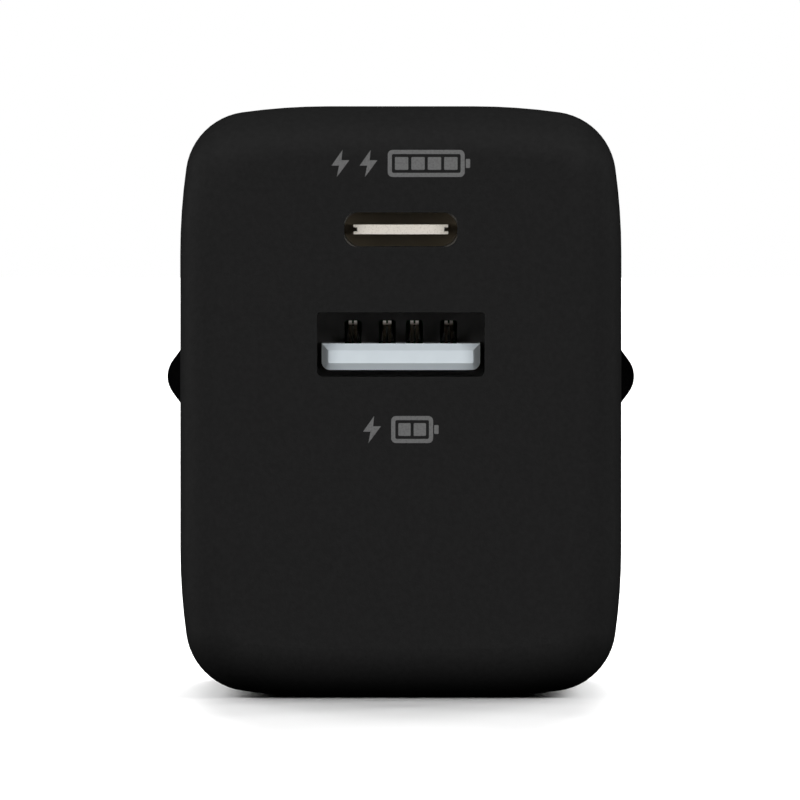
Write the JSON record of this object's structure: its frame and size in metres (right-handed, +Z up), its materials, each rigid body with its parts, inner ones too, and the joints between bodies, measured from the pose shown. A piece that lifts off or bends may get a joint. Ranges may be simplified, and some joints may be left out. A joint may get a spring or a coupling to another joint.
{
  "type": "usb wall charger",
  "caption": "Upright block-shaped wall charger with rounded corners, a USB-C port above a USB-A port in its face, and a fixed flat Europlug at the back.",
  "frame": {"origin": "on the bottom face, on the middle plane, midway between the front face and the tips of the plug's pins", "axes": "+Z up, -Y out of the face with the ports, +Y the way the plug goes into its socket, +X to the right as the ports are seen"},
  "size_m": [0.0352, 0.095, 0.0431],
  "materials": {
    "housing_plastic": "fine matte texture",
    "print_ink": "pad printed",
    "cover_plastic": "polished gloss",
    "carrier_plastic": "moulded",
    "pin_metal": "nickel plated",
    "sleeve_plastic": "moulded",
    "lead_insulation": "soft",
    "circuit_board": "solder mask",
    "port_steel": "rolled sheet",
    "port_a_plastic": "moulded",
    "port_black_plastic": "moulded",
    "port_c_plastic": "moulded",
    "contact_metal": "gold flash",
    "tinned_wire": "tinned",
    "ferrite": "sintered",
    "bobbin_plastic": "moulded",
    "enamelled_copper": "enamelled",
    "coil_tape": "polyester tape",
    "can_aluminium": "satin",
    "can_sleeve": "shrink sleeve",
    "seal_rubber": "moulded",
    "film_box": "moulded",
    "disc_blue": "dipped",
    "chip_epoxy": "moulded",
    "ceramic_chip": "fired",
    "fuse_body": "moulded",
    "spreader_metal": "rolled",
    "gap_filler": "soft",
    "insulating_film": "polyester film"
  },
  "bodies": {
    "charger": {"board_header_pins": "tinned_wire", "bridge_rectifier": "chip_epoxy", "buck_controller": "chip_epoxy", "buck_inductor": "ferrite", "bulk_capacitor_can_1": "can_aluminium", "bulk_capacitor_can_2": "can_aluminium", "bulk_capacitor_leads": "tinned_wire", "bulk_capacitor_seal_1": "seal_rubber", "bulk_capacitor_seal_2": "seal_rubber", "bulk_capacitor_sleeve_1": "can_sleeve", "bulk_capacitor_sleeve_2": "can_sleeve", "ceramic_capacitors": "ceramic_chip", "choke_core": "ferrite", "choke_windings": "enamelled_copper", "front_housing": "housing_plastic", "heat_spreader": "spreader_metal", "input_fuse": "fuse_body", "insulation_sheet": "insulating_film", "live_lead": "lead_insulation", "live_pin": "pin_metal", "live_pin_sleeve": "sleeve_plastic", "main_board": "circuit_board", "neutral_lead": "lead_insulation", "neutral_pin": "pin_metal", "neutral_pin_sleeve": "sleeve_plastic", "optocoupler": "chip_epoxy", "output_board": "circuit_board", "output_capacitor_1": "can_aluminium", "output_capacitor_2": "can_aluminium", "output_capacitor_3": "can_aluminium", "pd_controller": "chip_epoxy", "pin_carrier": "carrier_plastic", "primary_switch": "chip_epoxy", "pwm_controller": "chip_epoxy", "rear_cover": "cover_plastic", "sync_rectifier": "chip_epoxy", "thermal_pad": "gap_filler", "transformer_bobbin": "bobbin_plastic", "transformer_core_lower": "ferrite", "transformer_core_upper": "ferrite", "transformer_pins": "tinned_wire", "transformer_primary_winding": "enamelled_copper", "transformer_secondary_winding": "enamelled_copper", "transformer_tape": "coil_tape", "usb_a_contact_tails": "tinned_wire", "usb_a_insulator": "port_black_plastic", "usb_a_shell": "port_steel", "usb_a_tongue": "port_a_plastic", "usb_c_contacts": "contact_metal", "usb_c_insulator": "port_c_plastic", "usb_c_mid_plate": "port_steel", "usb_c_shell": "port_steel", "varistor": "disc_blue", "x_capacitor": "film_box", "y_capacitor": "disc_blue"},
    "contact_spring_1": {"usb_a_contact_spring_1": "contact_metal"},
    "contact_spring_2": {"usb_a_contact_spring_2": "contact_metal"},
    "contact_spring_3": {"usb_a_contact_spring_3": "contact_metal"},
    "contact_spring_4": {"usb_a_contact_spring_4": "contact_metal"}
  },
  "joints": [
    {"name": "contact_spring_1_flex", "type": "hinge", "parent": "charger", "child": "contact_spring_1", "pos_m": [-0.0035, -0.0369, 0.02601], "axis": [1, 0, 0], "range_deg": [0, 5], "stiffness_Nm_per_rad": 0.05},
    {"name": "contact_spring_2_flex", "type": "hinge", "parent": "charger", "child": "contact_spring_2", "pos_m": [-0.001, -0.0369, 0.02601], "axis": [1, 0, 0], "range_deg": [0, 5], "stiffness_Nm_per_rad": 0.05},
    {"name": "contact_spring_3_flex", "type": "hinge", "parent": "charger", "child": "contact_spring_3", "pos_m": [0.001, -0.0369, 0.02601], "axis": [1, 0, 0], "range_deg": [0, 5], "stiffness_Nm_per_rad": 0.05},
    {"name": "contact_spring_4_flex", "type": "hinge", "parent": "charger", "child": "contact_spring_4", "pos_m": [0.0035, -0.0369, 0.02601], "axis": [1, 0, 0], "range_deg": [0, 5], "stiffness_Nm_per_rad": 0.05}
  ],
  "couplings": [
    {"joint": "contact_spring_2_flex", "follows": "contact_spring_1_flex", "ratio": 1},
    {"joint": "contact_spring_3_flex", "follows": "contact_spring_1_flex", "ratio": 1},
    {"joint": "contact_spring_4_flex", "follows": "contact_spring_1_flex", "ratio": 1}
  ]
}
